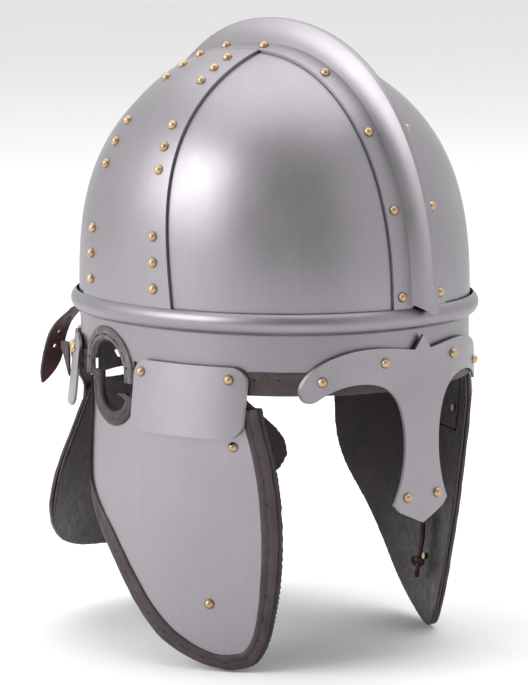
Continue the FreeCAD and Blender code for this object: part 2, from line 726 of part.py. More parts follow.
# chin tie: a knotted thong through the lower rivet's washer on the inside of each guard
tie_turns = [(-36.0, -166.0, -7.0), (-38.5, -158.0, -8.0), (-40.0, -149.0, -7.4),
             (-40.0, -139.0, -7.0), (-37.0, -131.0, -7.0)]
tie_points = [panel_point(guard_surface, side_place, a, z, lift) for a, z, lift in tie_turns]
tie_curve = Part.BSplineCurve()
tie_curve.interpolate(tie_points)
tie_start = Part.Wire([Part.makeCircle(1.6, tie_points[0], tie_curve.tangent(0.0)[0])])
chin_tie = Part.Wire([tie_curve.toShape()]).makePipeShell([tie_start], True, False)
save_pair("chin_tie", chin_tie)

# ---- neck guard ---------------------------------------------------------------------------

print("neck")


def neck_surface(across, height):
    drop = max(0.0, (-50.0 - height) / 102.0)
    middle = NECK_OUT_TOP + (NECK_OUT_BOTTOM - NECK_OUT_TOP) * drop ** 1.25
    return middle - across ** 2 / (2 * NECK_RADIUS)


NECK_SPANS = ((-100, 100), (-170, -40))
right_edge = [(0.0, NECK_TOP), (-28.0, NECK_TOP), (-47.0, NECK_TOP - 1.0), (-54.0, -66.0),
              (-64.0, -79.5), (-77.0, -93.5), (-84.5, -104.0), (-86.5, -114.0), (-82.0, -125.0),
              (-72.0, -135.0), (-57.0, -145.5), (-32.0, -154.5), (0.0, -158.0)]
left_edge = [(-a, z) for a, z in reversed(right_edge[1:-1])]
NECK_OUTLINE = right_edge + left_edge


def neck_region(inset):
    points = inset_points(NECK_OUTLINE, inset)
    return prism(rear_place, smooth_outline(rear_place, points))


NECK_STRAP_ACROSS = 45.0


def neck_spot(across, height):
    spot = panel_point(neck_surface, rear_place, across, height)
    return spot, panel_direction(neck_surface, rear_place, across, height)


neck_places = []
for sign in (-1, 1):
    neck_places.append(neck_spot(sign * NECK_STRAP_ACROSS, -68.5))
    neck_places.append(neck_spot(sign * NECK_STRAP_ACROSS, -78.5))
whole_neck = neck_region(0.0)
neck_steel = panel(neck_surface, rear_place, neck_region(1.6), NECK_SPANS, 0.0, -SHEET)
neck_steel = drilled(neck_steel, neck_places)
neck_edging = panel(neck_surface, rear_place, whole_neck.cut(neck_region(8.0)), NECK_SPANS,
                    GAP + TRIM, -SHEET - GAP)
neck_edging = neck_edging.cut(panel(neck_surface, rear_place, neck_region(1.5), NECK_SPANS,
                                    GAP, -SHEET - 3))
for sign in (-1, 1):
    middle = sign * NECK_STRAP_ACROSS
    neck_edging = neck_edging.cut(box(middle - 8.4, middle + 8.4, 60, 150, NECK_TOP - 30, -40)
                                  .cut(panel_block(neck_surface, rear_place, (-103, 103),
                                                   (-173, -37), 0.0, 80)))
neck_lining = panel(neck_surface, rear_place, whole_neck, NECK_SPANS,
                    -SHEET - 2 * GAP, -SHEET - 2 * GAP - LEATHER)
neck_lining = drilled(neck_lining, neck_places)
save("neck_plate", neck_steel)
save("neck_edging", neck_edging)
save("neck_lining", neck_lining)
neck_rivet_places = [(p + d * (GAP + LEATHER), d) for p, d in neck_places]
save("neck_rivets", rivets(neck_rivet_places, SHEET + 2 * LEATHER + 4 * GAP))

# strap from the neck guard: over its buckle's lower bar, through the frame, behind the upper
# bar, and out again with the free tail falling outward
STRAP_WIDTH = 13.0
STRAP_LIFT = GAP + LEATHER / 2 + 0.02
BUCKLE_MIDDLE = -33.5        # height of the buckle
BUCKLE_HALF = (8.8, 6.5)
BUCKLE_BAR = 2.2
BUCKLE_OUT = 2.4             # its back, outward from the skull's oval
BUCKLE_THICK = 1.8
TAB_THICK = 1.1
TAB_WIDTH = 11.0

band_spot = V(-NECK_STRAP_ACROSS, oval_y(NECK_STRAP_ACROSS, 0), 0)
band_out = skull_normal(band_spot)
band_out = V(band_out.x, band_out.y, 0).normalize()
band_side = V(0, 0, 1).cross(band_out)


def strap_on_guard(height):
    spot, out = neck_spot(-NECK_STRAP_ACROSS, height)
    return spot + out * STRAP_LIFT, V(0, 0, 1).cross(out), out, STRAP_WIDTH


def strap_free(out, height, slope, twist=0, width=STRAP_WIDTH):
    """Station off the brow band; slope turns the face from outward (0) to downward (90)."""
    centre = band_spot + band_out * out + V(0, 0, height)
    face = band_out * math.cos(math.radians(slope)) - V(0, 0, math.sin(math.radians(slope)))
    turn = FreeCAD.Rotation(V(0, 0, 1), twist)
    return centre, turn.multVec(band_side), turn.multVec(face), width


def on_buckle(shape):
    """Place a shape drawn across (X), outward (Y) and up (Z) from the band's face."""
    centre = band_spot + V(0, 0, BUCKLE_MIDDLE)
    frame = FreeCAD.Matrix()
    frame.A11, frame.A21, frame.A31 = band_side.x, band_side.y, band_side.z
    frame.A12, frame.A22, frame.A32 = band_out.x, band_out.y, band_out.z
    frame.A13, frame.A23, frame.A33 = 0, 0, 1
    frame.A14, frame.A24, frame.A34 = centre.x, centre.y, centre.z
    return shape.transformGeometry(frame)


strap_stations = [strap_on_guard(-84.0), strap_on_guard(-79.0), strap_on_guard(-74.0),
                  strap_on_guard(-69.0), strap_on_guard(-65.0), strap_on_guard(-62.0),
                  strap_free(0.5, -57.2, 14), strap_free(2.7, -53.0, 28),
                  strap_free(5.2, -49.0, 24), strap_free(6.8, -44.6, 8),
                  strap_free(7.0, -39.0, -12), strap_free(4.2, -33.9, -36),
                  strap_free(1.8, -30.2, -22), strap_free(1.1, -27.4, 0),
                  strap_free(0.95, -24.0, 0),
                  strap_free(1.2, -20.2, 18), strap_free(2.6, -16.6, 50),
                  strap_free(5.4, -15.8, 92, -3), strap_free(8.6, -18.6, 118, -8),
                  strap_free(13.4, -23.4, 136, -16), strap_free(17.4, -29.6, 150, -24),
                  strap_free(19.8, -36.2, 161, -30), strap_free(21.4, -42.6, 165, -33),
                  strap_free(23.0, -48.6, 162, -35, 11.6),
                  strap_free(25.6, -54.6, 156, -36, 7.2), strap_free(28.0, -59.4, 152, -36, 1.2)]
neck_strap = ribbon(strap_stations, LEATHER)
neck_strap = drilled(neck_strap, [spot for spot in neck_places if spot[0].x < 0])
prong_slot = box(-1.6, 1.6, -1.5, 9.0, -8.0, 2.0)
neck_strap = neck_strap.cut(on_buckle(prong_slot))
for out, drop in ((12.0, -21.8), (17.8, -30.3), (20.4, -38.6)):
    middle, side, face, width = strap_free(out, drop, 145, -22)
    neck_strap = neck_strap.cut(Part.makeCylinder(1.2, 8, middle - face * 4, face))
save_pair("neck_strap", neck_strap)

# buckle: brass frame, its prong, and the leather tab that holds its lower bar to the brow band
frame_solid = box(-BUCKLE_HALF[0], BUCKLE_HALF[0], BUCKLE_OUT, BUCKLE_OUT + BUCKLE_THICK,
                  -BUCKLE_HALF[1], BUCKLE_HALF[1])
frame_hole = box(-BUCKLE_HALF[0] + BUCKLE_BAR, BUCKLE_HALF[0] - BUCKLE_BAR, 0, 6,
                 -BUCKLE_HALF[1] + BUCKLE_BAR, BUCKLE_HALF[1] - BUCKLE_BAR)
save_pair("neck_buckle_frame", on_buckle(frame_solid.cut(frame_hole)))

PRONG_GAP = 0.35
prong_face = BUCKLE_OUT + BUCKLE_THICK + PRONG_GAP
prong = box(-0.9, 0.9, prong_face, prong_face + 1.5, -BUCKLE_HALF[1] + 0.2, BUCKLE_HALF[1] + 0.4)
save_pair("neck_buckle_prong", on_buckle(prong))

tab_back = -BAND_INSET + GAP + TAB_THICK / 2
tab_stations = [strap_free(tab_back, -15.0, 0, 0, TAB_WIDTH),
                strap_free(tab_back, -21.0, 0, 0, TAB_WIDTH),
                strap_free(tab_back, -25.5, 0, 0, TAB_WIDTH),
                strap_free(-0.7, -28.7, 0, 0, TAB_WIDTH),
                strap_free(-0.02, -31.0, 0, 0, TAB_WIDTH),
                strap_free(0.0, -33.4, 0, 0, TAB_WIDTH),
                strap_free(0.0, -35.9, 0, 0, TAB_WIDTH),
                strap_free(0.6, -38.6, -20, 0, TAB_WIDTH),
                strap_free(1.7, -40.7, -50, 0, TAB_WIDTH),
                strap_free(3.4, -41.3, -90, 0, TAB_WIDTH),
                strap_free(5.0, -40.3, -140, 0, TAB_WIDTH),
                strap_free(5.3, -38.2, -180, 0, TAB_WIDTH)]
buckle_tab = ribbon(tab_stations, TAB_THICK)
buckle_tab = buckle_tab.cut(on_buckle(box(-1.5, 1.5, 1.0, 9.0, -9.0, 0.0)))
save_pair("buckle_tab", buckle_tab)

# keeper: short leather tab behind the rear cover, towards the strap's tail
keeper = [(V(-67.0, 90.0, -42.0), V(0, 0, 1), V(-0.9, 0.4, 0), 19.0),
          (V(-65.0, 94.8, -39.5), V(0, 0, 1), V(-0.9, 0.4, 0), 14.0),
          (V(-63.0, 99.1, -37.0), V(0, 0, 1), V(-0.9, 0.4, 0), 8.0),
          (V(-61.5, 103.0, -36.0), V(0, 0, 1), V(-0.9, 0.4, 0), 5.0)]
save_pair("strap_keeper", ribbon(keeper, 1.4))

# closing strap: leather across the gap above the neck guard, held behind the head band
CLOSING = (-4.95, 1.25)      # its outer face against the oval, and its thickness
closing_edge = [(-42.0, -26.0), (-29.0, -27.0), (-26.5, -40.0), (-22.0, -46.4),
                (22.0, -46.4), (26.5, -40.0), (29.0, -27.0), (42.0, -26.0),
                (42.0, -52.6), (-42.0, -52.6)]


def closing_surface(across, height):
    return oval_y(across, CLOSING[0])


closing_region = prism(rear_place, straight_outline(rear_place, closing_edge))
save("closing_strap", panel(closing_surface, rear_place, closing_region,
                            ((-50, 50), (-62, -18)), 0.0, -CLOSING[1]))
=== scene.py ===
"""Looks of a riveted, banded ridge helmet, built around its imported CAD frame.

Lengths are millimetres here, and become metres as each mesh is made."""
import json
import math
import random

import bmesh
import bpy
import numpy as np
from mathutils import Matrix, Vector, noise


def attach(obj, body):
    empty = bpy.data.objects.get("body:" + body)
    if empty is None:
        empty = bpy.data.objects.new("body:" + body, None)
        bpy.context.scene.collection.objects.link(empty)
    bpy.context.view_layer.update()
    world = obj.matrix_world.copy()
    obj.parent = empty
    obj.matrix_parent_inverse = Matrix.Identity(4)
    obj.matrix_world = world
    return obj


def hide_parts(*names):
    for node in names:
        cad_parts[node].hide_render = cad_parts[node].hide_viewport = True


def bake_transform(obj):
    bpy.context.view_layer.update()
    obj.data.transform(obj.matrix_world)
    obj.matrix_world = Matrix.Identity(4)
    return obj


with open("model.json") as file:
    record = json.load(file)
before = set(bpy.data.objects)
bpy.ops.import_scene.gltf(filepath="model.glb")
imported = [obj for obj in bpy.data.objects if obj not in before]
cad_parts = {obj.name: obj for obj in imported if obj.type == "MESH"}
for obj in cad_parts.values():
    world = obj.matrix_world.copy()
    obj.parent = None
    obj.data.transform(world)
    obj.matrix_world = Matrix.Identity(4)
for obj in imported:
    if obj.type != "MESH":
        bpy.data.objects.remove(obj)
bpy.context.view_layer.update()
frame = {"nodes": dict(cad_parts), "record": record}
MM = 0.001
random.seed(11)

# ---- camera ---------------------------------------------------------------------------------

AZIMUTH = math.radians(43.795)
ELEVATION = math.radians(7.381)
ROLL = math.radians(-0.308)
DISTANCE = 1754.5
SENSOR = 36.0
LENS = 172.23
AIM_ASIDE = 0.0028958        # how far the aim turns from the origin, as a share of the distance
AIM_DOWN = 0.0171917


def make_camera():
    away = Vector((-math.sin(AZIMUTH) * math.cos(ELEVATION),
                   -math.cos(AZIMUTH) * math.cos(ELEVATION), math.sin(ELEVATION)))
    aim = -away
    right = aim.cross(Vector((0, 0, 1))).normalized()
    up = right.cross(aim)
    aim = (aim - right * AIM_ASIDE - up * AIM_DOWN).normalized()
    right = aim.cross(up).normalized()
    up = right.cross(aim)
    turned_right = right * math.cos(ROLL) + up * math.sin(ROLL)
    turned_up = up * math.cos(ROLL) - right * math.sin(ROLL)
    data = bpy.data.cameras.new("camera")
    data.sensor_width = SENSOR
    data.lens = LENS
    data.clip_end = 50
    camera = bpy.data.objects.new("camera", data)
    bpy.context.scene.collection.objects.link(camera)
    place = Matrix((turned_right, turned_up, -aim)).transposed().to_4x4()
    place.translation = away * DISTANCE * MM
    camera.matrix_world = place
    bpy.context.scene.camera = camera
    return right, aim


view_right, view_aim = make_camera()

# ---- the helmet's surfaces, as the CAD has them ---------------------------------------------

HALF_LENGTH = 110.0
HALF_WIDTH = 97.0
PLAN_POWER = 2.15
SHEET = 1.5
GAP = 0.05
TRIM = 1.15
BAND_INSET = 2.0
BAND_BOTTOM = -41.0
TRIM_TOP = -31.0
TRIM_BOTTOM = -43.0
EAR_CENTRE = (30.5, -39.5)
EAR_RADIUS = 17.0
EAR_TRIM = 7.5
GUARD_TOP = -49.0
HORN_TOP = -38.5             # rear horn of the cheek guard, behind the ear
NOTCH = (20.0, -47.0)
NOTCH_RADIUS = 11.5
NECK_ACROSS = 45.0


def oval_x(y, grow):
    left = max(0.0, 1 - (abs(y) / (HALF_LENGTH + grow)) ** PLAN_POWER)
    return (HALF_WIDTH + grow) * left ** (1 / PLAN_POWER)


def oval_point(angle, grow, height):
    c = math.cos(angle)
    s = math.sin(angle)
    return Vector((math.copysign(abs(c) ** (2 / PLAN_POWER), c) * (HALF_WIDTH + grow),
                   math.copysign(abs(s) ** (2 / PLAN_POWER), s) * (HALF_LENGTH + grow), height))


def guard_surface(across, height):
    blend = min(1.15, max(0.0, (-62 - height) / 120))
    bow = 98.0 - 0.0039 * (30 - across) ** 2
    return (1 - blend) * oval_x(across, 0.8) + blend * bow


def neck_surface(across, height):
    drop = max(0.0, (-50.0 - height) / 102.0)
    return 106.0 + 24.0 * drop ** 1.25 - across ** 2 / 210.0


def side_place(across, out, height):
    return Vector((-out, across, height))


def rear_place(across, out, height):
    return Vector((across, out, height))


def panel_point(surface, place, across, height, lift):
    step = 0.2
    da = (surface(across + step, height) - surface(across - step, height)) / (2 * step)
    dz = (surface(across, height + step) - surface(across, height - step)) / (2 * step)
    size = math.sqrt(1 + da * da + dz * dz)
    return place(across - lift * da / size, surface(across, height) + lift / size,
                 height - lift * dz / size)


def smooth_loop(points, count):
    """Evenly spaced points of the closed cubic curve through the given ones."""
    p = np.array(points, float)
    n = len(p)
    span = np.linalg.norm(np.roll(p, -1, 0) - p, axis=1)
    a = np.zeros((n, n))
    b = np.zeros((n, 2))
    for i in range(n):
        before = span[i - 1]
        after = span[i]
        a[i, i - 1] += before
        a[i, i] += 2 * (before + after)
        a[i, (i + 1) % n] += after
        b[i] = 6 * ((p[(i + 1) % n] - p[i]) / after - (p[i] - p[i - 1]) / before)
    bend = np.linalg.solve(a, b)
    fine = []
    for i in range(n):
        j = (i + 1) % n
        h = span[i]
        for t in np.linspace(0, h, 24, endpoint=False):
            u = h - t
            fine.append(bend[i] * u ** 3 / (6 * h) + bend[j] * t ** 3 / (6 * h)
                        + (p[i] / h - bend[i] * h / 6) * u + (p[j] / h - bend[j] * h / 6) * t)
    return even(fine + [fine[0]], count + 1)[:-1]


def even(points, count):
    """The same line, cut into equal steps."""
    p = np.array(points, float)
    run = np.concatenate([[0], np.cumsum(np.linalg.norm(np.diff(p, axis=0), axis=1))])
    at = np.linspace(0, run[-1], count)
    return np.stack([np.interp(at, run, p[:, k]) for k in range(p.shape[1])], 1)


# ---- mesh helpers ---------------------------------------------------------------------------

def add_object(name, mesh):
    obj = bpy.data.objects.new(name, mesh)
    bpy.context.scene.collection.objects.link(obj)
    return obj


def skin(name, rows, closed):
    """Skin over rows of points, each row one closed section; ends are capped unless closed."""
    mesh = bpy.data.meshes.new(name)
    count = len(rows[0])
    points = [p * MM for row in rows for p in row]
    faces = []
    for i in range(len(rows) if closed else len(rows) - 1):
        a = i * count
        b = (i + 1) % len(rows) * count
        for k in range(count):
            m = (k + 1) % count
            faces.append((a + k, a + m, b + m, b + k))
    if not closed:
        faces.append(tuple(range(count))[::-1])
        faces.append(tuple(range(len(points) - count, len(points))))
    mesh.from_pydata(points, [], faces)
    tidy_normals(mesh)
    return add_object(name, mesh)


def tidy_normals(mesh, sharp=50):
    work = bmesh.new()
    work.from_mesh(mesh)
    bmesh.ops.recalc_face_normals(work, faces=work.faces)
    work.to_mesh(mesh)
    work.free()
    mesh.shade_smooth()
    mesh.set_sharp_from_angle(angle=math.radians(sharp))


def wrinkle(obj, size, depth):
    """Uneven hand-worked surface: each point moves a little along its normal."""
    mesh = obj.data
    normals = [v.normal.copy() for v in mesh.vertices]
    for v, normal in zip(mesh.vertices, normals):
        v.co += normal * (noise.noise(v.co / (size * MM)) * depth * MM)


def mirror_copy(obj, name):
    mesh = obj.data.copy()
    mesh.transform(Matrix.Diagonal((-1, 1, 1, 1)))
    mesh.flip_normals()
    return add_object(name, mesh)


def apply_modifiers(obj):
    bpy.context.view_layer.update()
    graph = bpy.context.evaluated_depsgraph_get()
    mesh = bpy.data.meshes.new_from_object(obj.evaluated_get(graph))
    obj.modifiers.clear()
    obj.data = mesh


def soft_copy(node, name, voxel, size, depth, keep=0.5):
    """Leather made from a CAD sheet: rounded edges and a slightly uneven face."""
    mesh = frame["nodes"][node].data.copy()
    mesh.materials.clear()
    obj = add_object(name, mesh)
    obj.modifiers.new("weld", "WELD").merge_threshold = 1e-6
    shape = obj.modifiers.new("shape", "REMESH")
    shape.mode = "VOXEL"
    shape.voxel_size = voxel * MM
    settle = obj.modifiers.new("settle", "SMOOTH")
    settle.iterations = 3
    settle.factor = 0.5
    fewer = obj.modifiers.new("fewer", "DECIMATE")
    fewer.ratio = keep
    apply_modifiers(obj)
    wrinkle(obj, size, depth)
    obj.data.shade_smooth()
    return obj


BREAK = 6.0                  # a longer step in a line of thread is a break in it


def pill(length, radius):
    """Points and faces of one stitch lying along X."""
    points = []
    faces = []
    rings = 6
    sides = 8
    for i in range(rings + 1):
        turn = math.pi * i / rings
        for k in range(sides):
            round_turn = 2 * math.pi * k / sides
            r = max(0.02, math.sin(turn)) ** 0.6 * radius
            points.append(Vector((-math.cos(turn) * length / 2, r * math.cos(round_turn),
                                  r * math.sin(round_turn))))
    for i in range(rings):
        for k in range(sides):
            m = (k + 1) % sides
            faces.append((i * sides + k, i * sides + m, (i + 1) * sides + m, (i + 1) * sides + k))
    faces.append(tuple(range(sides))[::-1])
    faces.append(tuple(range(rings * sides, (rings + 1) * sides)))
    return points, faces


def stitches(name, line, start_at, spacing, length, radius):
    """Thread along a line of (point, face normal); a break in the line stays bare."""
    shape_points, shape_faces = pill(length, radius)
    spots = np.array([list(p) + list(n) for p, n in line])
    steps = np.linalg.norm(np.diff(spots[:, :3], axis=0), axis=1)
    run = np.concatenate([[0], np.cumsum(steps)])
    points = []
    faces = []
    for at in np.arange(start_at, run[-1], spacing):
        if steps[min(len(steps), int(np.searchsorted(run, at))) - 1] > BREAK:
            continue
        here = np.array([np.interp(at, run, spots[:, k]) for k in range(6)])
        ahead = np.array([np.interp(at + 0.6, run, spots[:, k]) for k in range(3)])
        behind = np.array([np.interp(at - 0.6, run, spots[:, k]) for k in range(3)])
        along = Vector(ahead - behind).normalized()
        normal = Vector(here[3:]).normalized()
        side = normal.cross(along).normalized()
        normal = along.cross(side)
        skew = Matrix.Rotation(math.radians(random.uniform(-7, 7)), 3, "Z")
        turn = Matrix((along, side, normal)).transposed() @ skew
        start = len(points)
        points += [(turn @ p + Vector(here[:3])) * MM for p in shape_points]
        faces += [tuple(start + i for i in face) for face in shape_faces]
    mesh = bpy.data.meshes.new(name)
    mesh.from_pydata(points, [], faces)
    tidy_normals(mesh, 80)
    return add_object(name, mesh)


# ---- materials ------------------------------------------------------------------------------

class Look:
    """One procedural material, with its nodes joined by short calls."""

    def __init__(self, name):
        self.material = bpy.data.materials.new(name)
        self.material.use_nodes = True
        self.tree = self.material.node_tree
        self.tree.nodes.clear()
        self.shader = self.add("ShaderNodeBsdfPrincipled")
        self.join(self.shader.outputs[0], self.add("ShaderNodeOutputMaterial").inputs[0])
        self.place = self.add("ShaderNodeTexCoord").outputs["Object"]

    def add(self, kind, **settings):
        node = self.tree.nodes.new(kind)
        for key, value in settings.items():
            setattr(node, key, value)
        return node

    def join(self, source, target):
        self.tree.links.new(source, target)

    def noise(self, scale, detail=3.0, stretch=(1, 1, 1), rough=0.55):
        mapping = self.add("ShaderNodeMapping")
        mapping.inputs["Scale"].default_value = stretch
        self.join(self.place, mapping.inputs["Vector"])
        node = self.add("ShaderNodeTexNoise")
        node.inputs["Scale"].default_value = scale
        node.inputs["Detail"].default_value = detail
        node.inputs["Roughness"].default_value = rough
        self.join(mapping.outputs[0], node.inputs["Vector"])
        return node.outputs["Fac"]

    def span(self, source, low, high, from_low=0.3, from_high=0.7):
        node = self.add("ShaderNodeMapRange")
        node.inputs["From Min"].default_value = from_low
        node.inputs["From Max"].default_value = from_high
        node.inputs["To Min"].default_value = low
        node.inputs["To Max"].default_value = high
        self.join(source, node.inputs["Value"])
        return node.outputs["Result"]

    def mix(self, factor, first, second, mode="MIX"):
        node = self.add("ShaderNodeMix", data_type="RGBA", blend_type=mode)
        for value, socket in ((factor, 0), (first, 6), (second, 7)):
            if isinstance(value, bpy.types.NodeSocket):
                self.join(value, node.inputs[socket])
            else:
                node.inputs[socket].default_value = value
        return node.outputs[2]

    def painted_crevice_shade(self, distance, low=0.35, high=0.85):
        """Painted shade: 1 in the open, 0 where sheets meet, where an ambient-occlusion node finds
        shade.
        """
        node = self.add("ShaderNodeAmbientOcclusion", samples=8)
        node.inputs["Distance"].default_value = distance * MM
        return self.span(node.outputs["AO"], 0.0, 1.0, low, high)

    def bump(self, layers):
        """Layers of (height, depth in millimetres, strength)."""
        normal = None
        for height, depth, strength in layers:
            node = self.add("ShaderNodeBump")
            node.inputs["Strength"].default_value = strength
            node.inputs["Distance"].default_value = depth * MM
            self.join(height, node.inputs["Height"])
            if normal is not None:
                self.join(normal, node.inputs["Normal"])
            normal = node.outputs["Normal"]
        self.join(normal, self.shader.inputs["Normal"])

    def set(self, **values):
        for key, value in values.items():
            self.shader.inputs[key.replace("_", " ").title()].default_value = value


def colour(r, g, b):
    return (r, g, b, 1.0)


def steel_look(name, tint, stretch):
    look = Look(name)
    look.set(metallic=1.0)
    cloud = look.noise(9.0, 3.0)
    base = look.mix(look.span(cloud, 0, 1), colour(*[t * 0.93 for t in tint]), colour(*tint))
    brushed = look.noise(1.0, 4.0, stretch, 0.6)
    base = look.mix(look.span(brushed, 0.0, 0.14), base, colour(0.22, 0.21, 0.22))
    # Painted shade: the steel goes near black at band feet, rivet feet and the bead line, where
    # shade falls.
    edge = look.painted_crevice_shade(1.6)
    base = look.mix(edge, colour(0.02, 0.018, 0.02), base)
    look.join(base, look.shader.inputs["Base Color"])
    smudge = look.noise(26.0, 5.0)
    look.join(look.span(smudge, 0.36, 0.46), look.shader.inputs["Roughness"])
    look.bump([(look.noise(34.0, 2.0), 0.25, 0.16), (brushed, 0.03, 0.28)])
    return look.material


def brass_look():
    look = Look("brass")
    look.set(metallic=1.0)
    cloud = look.noise(160.0, 4.0)
    base = look.mix(look.span(cloud, 0, 1), colour(0.42, 0.29, 0.17), colour(0.60, 0.44, 0.28))
    # Painted shade: the rivet domes go near black where they meet the steel, where shade falls.
    base = look.mix(look.painted_crevice_shade(1.4, 0.25, 0.8), colour(0.03, 0.02, 0.015), base)
    look.join(base, look.shader.inputs["Base Color"])
    look.join(look.span(look.noise(420.0, 3.0), 0.30, 0.46), look.shader.inputs["Roughness"])
    look.bump([(look.noise(330.0, 3.0), 0.12, 0.35)])
    return look.material


def leather_look(name, dark, light, worn, roughness, worn_share=0.25, grain=0.10):
    look = Look(name)
    base = look.mix(look.span(look.noise(55.0, 5.0), 0, 1), colour(*dark), colour(*light))
    streak = look.noise(150.0, 6.0, (1, 1, 0.6), 0.7)
    base = look.mix(look.span(streak, 0.0, worn_share * 2, 0.5, 0.78), base, colour(*worn))
    # Painted shade: the leather darkens to a third of its dark tone where sheets meet, where shade
    # falls.
    base = look.mix(look.painted_crevice_shade(2.2, 0.15, 0.75), colour(*[d * 0.3 for d in dark]), base)
    look.join(base, look.shader.inputs["Base Color"])
    look.join(look.span(look.noise(240.0, 4.0), roughness - 0.08, roughness + 0.1),
              look.shader.inputs["Roughness"])
    pores = look.add("ShaderNodeTexVoronoi", feature="SMOOTH_F1")
    pores.inputs["Scale"].default_value = 900.0
    look.join(look.place, pores.inputs["Vector"])
    look.bump([(look.noise(190.0, 5.0), 0.5, 0.35), (pores.outputs["Distance"], grain, 0.6)])
    look.shader.inputs["Specular IOR Level"].default_value = 0.45
    return look.material


def thread_look(name, dark, light):
    look = Look(name)
    base = look.mix(look.span(look.noise(900.0, 3.0), 0, 1), colour(*dark), colour(*light))
    look.join(base, look.shader.inputs["Base Color"])
    look.join(look.span(look.noise(500.0), 0.6, 0.8), look.shader.inputs["Roughness"])
    look.bump([(look.noise(1400.0, 2.0, (1, 1, 3)), 0.08, 0.6)])
    return look.material


steel = steel_look("steel", (0.335, 0.318, 0.34), (420, 420, 26))
band_steel = steel_look("band_steel", (0.30, 0.284, 0.305), (60, 60, 520))
brass = brass_look()
edging = leather_look("edging_leather", (0.030, 0.018, 0.019), (0.058, 0.037, 0.039),
                      (0.13, 0.10, 0.098), 0.5, 0.18)
worn_edging = leather_look("worn_edging_leather", (0.045, 0.036, 0.04), (0.11, 0.092, 0.096),
                           (0.26, 0.235, 0.24), 0.44, 0.4)
lining = leather_look("lining_leather", (0.016, 0.010, 0.012), (0.036, 0.023, 0.027),
                      (0.07, 0.052, 0.055), 0.5, 0.12)
strap = leather_look("strap_leather", (0.045, 0.017, 0.018), (0.088, 0.036, 0.038),
                     (0.16, 0.09, 0.085), 0.5, 0.12)
thread = thread_look("thread", (0.035, 0.026, 0.025), (0.10, 0.078, 0.068))
# Near-black pieces in the awl holes: painted shade inside the holes.
awl_hole_painted_shade = thread_look("awl_hole_painted_shade", (0.004, 0.003, 0.003), (0.009, 0.006, 0.006))


def finish_piece(obj, material, slot, body, *nodes):
    obj.data.materials.clear()
    obj.data.materials.append(material)
    if body:
        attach(obj, body)
    if nodes:
        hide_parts(*nodes)
    return obj


SIDES = ("right", "left")

# ---- steel and brass stay as the CAD has them, with smooth shading --------------------------

for name, node in frame["nodes"].items():
    row = next(s for s in frame["record"]["subparts"] if s["node"] == name)
    metal = {"steel": steel, "brass": brass}.get(row["material_slot"])
    if metal is None:
        continue
    if name == "brow_band":
        metal = band_steel
    node.data.materials.clear()
    node.data.materials.append(metal)
    node.data.shade_smooth()

def sew(name, line, body, spacing, radius, both_sides=False):
    """Thread in a groove, each stitch going down into a hole at both ends; a near-black piece in
    each hole is painted shade.
    """
    kinds = (("thread", thread, spacing / 2, spacing - 1.4, radius),
             ("hole_shade", awl_hole_painted_shade, 0.2, 1.5, radius + 0.16))
    for kind, material, start_at, length, thickness in kinds:
        piece = stitches(f"{name}_{kind}", line, start_at, spacing, length, thickness)
        finish_piece(piece, material, "edging_leather", body)
        if both_sides:
            other = mirror_copy(piece, f"{name}_{kind}_mirrored")
            finish_piece(other, material, "edging_leather", body.replace("_right", "_left"))


# ---- leather edging -------------------------------------------------------------------------

LEAF = [(0.0, 0.0), (0.06, 0.75), (0.16, 1.12), (0.30, 1.02), (0.42, 0.72), (0.50, 0.98),
        (0.62, 1.22), (0.76, 1.12), (0.90, 0.85), (0.97, 0.5), (1.0, 0.04)]


def leaf_section(at, width, rim, under, flat):
    """Section of a folded edging: outer leaf with two ridges and a sewn groove, rim, short return.

    at(s, lift) gives a point s millimetres in from the edge, lifted off the sheet's face."""
    shown = max(width, rim + 0.15)
    high = 0.15 if flat else TRIM
    points = [at(rim, GAP)]
    for share, height in reversed(LEAF[3:]):
        points.append(at(rim + (shown - rim) * share, GAP + high * height))
    points.append(at(1.2, GAP + high * 0.98))
    points.append(at(0.5, GAP + high * 0.7))
    points.append(at(0.0, GAP - 0.3))
    points.append(at(0.0, (GAP + under) / 2))
    points.append(at(0.25, under + 0.25))
    points.append(at(0.8, under))
    points.append(at(rim, under))
    return points


LEATHER_OUTLINE = [(-66.0, -34.0), (-70.5, -52.0), (-73.0, -70.0), (-74.0, -94.0),
                   (-72.8, -118.0), (-70.0, -139.0), (-65.5, -161.0), (-60.0, -178.0),
                   (-53.0, -187.6), (-41.0, -189.4), (-25.0, -184.4), (-11.5, -176.5),
                   (2.5, -162.0), (13.4, -147.0), (23.0, -133.5), (33.8, -119.0),
                   (41.5, -103.0), (43.5, -86.0), (43.0, -66.0), (41.5, -46.0),
                   (38.0, -28.0), (8.0, -20.0), (-30.0, -20.0), (-56.0, -24.0)]
STEEL_OUTLINE = [(-60.0, -34.0), (-63.5, -52.0), (-66.0, -70.0), (-67.0, -94.0),
                 (-65.6, -120.0), (-62.4, -145.0), (-57.6, -168.0), (-51.5, -179.0),
                 (-41.0, -181.6), (-30.0, -178.0), (-18.0, -170.5), (-6.0, -158.0),
                 (4.0, -144.5), (13.8, -130.0), (27.0, -114.5), (39.5, -99.0),
                 (45.0, -84.0), (47.0, -60.0), (45.0, -30.0), (8.0, -14.0),
                 (-30.0, -14.0), (-52.0, -20.0)]
COVERED = (-69.0, 3.0, -66.0)  # hidden by the hinge cover: along Y, and above this height
RIM = 1.5                    # leather beyond the sheet's edge
NECK_LEAF = 8.0              # width of the neck guard's edging
GROOVE = 0.66                # height of the thread, as a share of the leather's thickness
STITCH = 12.5                # from one awl hole to the next
EAR_STITCH = 9.0
SEWN_WIDTH = 5.0             # narrower edging has no seam that shows


